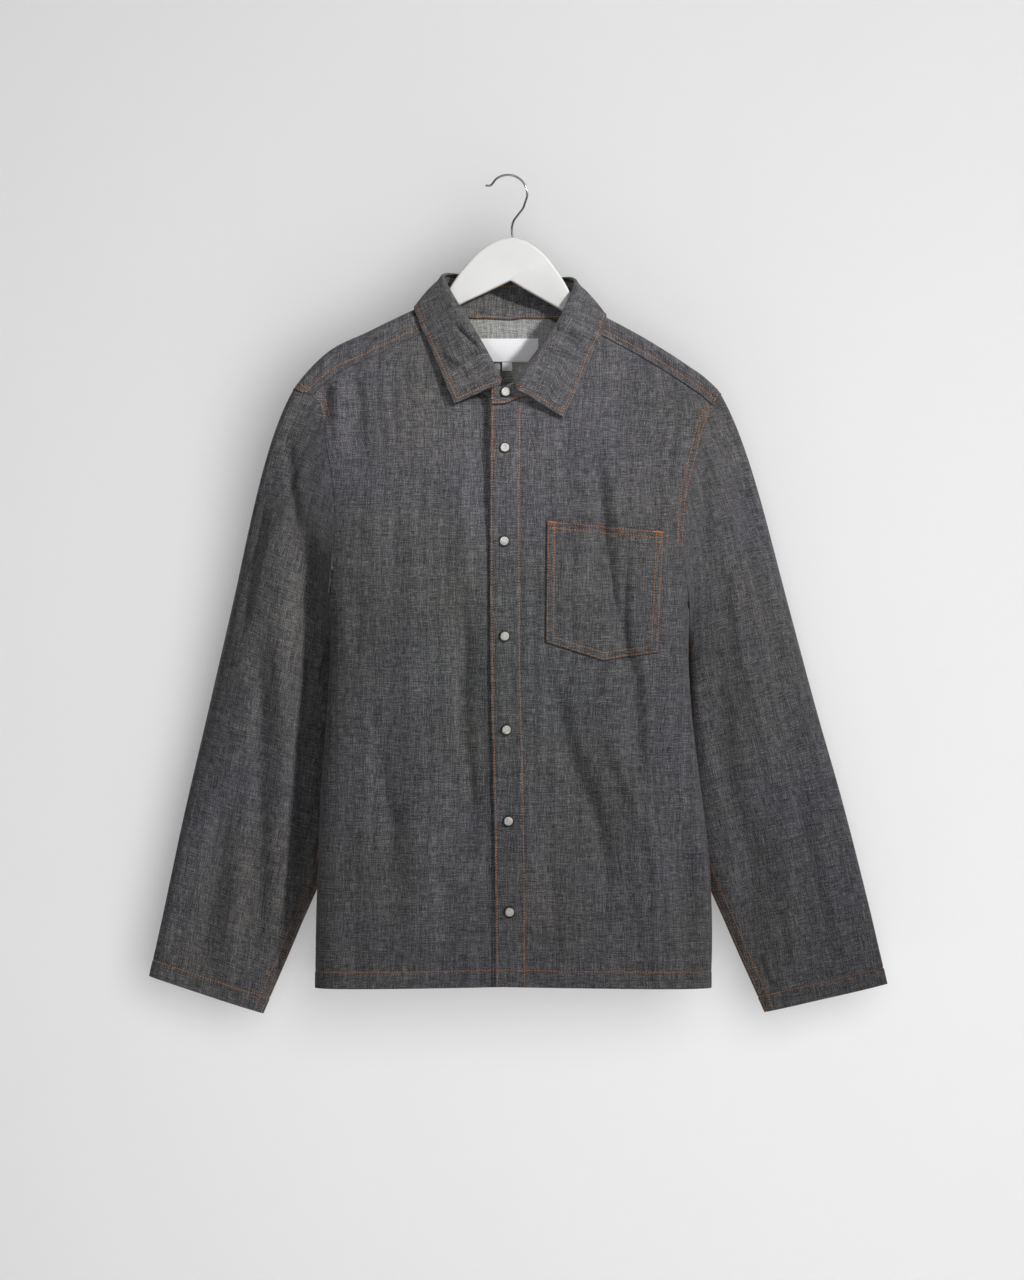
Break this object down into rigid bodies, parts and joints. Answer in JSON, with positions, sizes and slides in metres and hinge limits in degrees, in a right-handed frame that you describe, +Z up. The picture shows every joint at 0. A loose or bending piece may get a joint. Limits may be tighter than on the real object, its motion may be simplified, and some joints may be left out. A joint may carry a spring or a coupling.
{
  "type": "chambray overshirt on a hanger",
  "caption": "Long-sleeved snap-front overshirt in dark chambray with a chest pocket and a pointed collar, hung on a flat white hanger with a wire hook.",
  "frame": {"origin": "the point inside the crest of the hanger's hook, where whatever holds it bears", "axes": "+Z up along the hung length, +Y from the shirt's front to its back, +X to the viewer's right and the wearer's left"},
  "size_m": [0.8001, 0.1352, 0.9066],
  "materials": {
    "cloth": "slubby dark chambray, matt, paler inside",
    "label": "white woven label, bare",
    "hanger": "white satin",
    "hook": "bright plated wire",
    "snap": "pearl in a dark metal rim"
  },
  "bodies": {
    "root": {"hanger_body": "hanger", "hanger_hook": "hook", "back": "cloth", "yoke": "cloth", "front_right": "cloth", "front_left": "cloth", "placket": "cloth", "pocket": "cloth", "sleeve_right": "cloth", "sleeve_left": "cloth", "collar_stand": "cloth", "collar_leaf": "cloth", "neck_label": "label", "size_tab": "label", "snap_1": "snap", "snap_2": "snap", "snap_3": "snap", "snap_4": "snap", "snap_5": "snap", "snap_6": "snap", "snap_7": "snap"}
  },
  "joints": []
}
